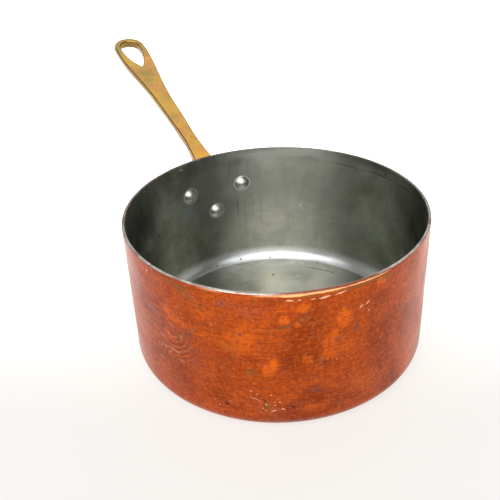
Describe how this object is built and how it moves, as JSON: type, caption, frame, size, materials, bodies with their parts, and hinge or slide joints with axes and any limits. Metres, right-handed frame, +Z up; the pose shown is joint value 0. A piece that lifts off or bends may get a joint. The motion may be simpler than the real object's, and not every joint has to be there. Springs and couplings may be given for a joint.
{
  "type": "saucepan",
  "caption": "Copper saucepan with straight walls, a tinned inside and a sloping brass handle that ends in a teardrop hanging eye.",
  "frame": {"origin": "centre of the pan's flat underside, on the pan's axis", "axes": "+Z up along the pan's axis, +X from the pan's axis along the handle, +Y across"},
  "size_m": [0.3895, 0.2, 0.1479],
  "materials": {
    "copper": "worn satin with tarnish",
    "tin": "wiped and dulled with use",
    "brass": "cast and filed, mottled with tarnish",
    "tinned_rivet": "tinned and lightly polished"
  },
  "bodies": {
    "root": {"copper_body": "copper", "tin_lining": "tin", "brass_handle": "brass", "rivet_upper_left": "tinned_rivet", "rivet_upper_right": "tinned_rivet", "rivet_lower": "tinned_rivet"}
  },
  "joints": []
}
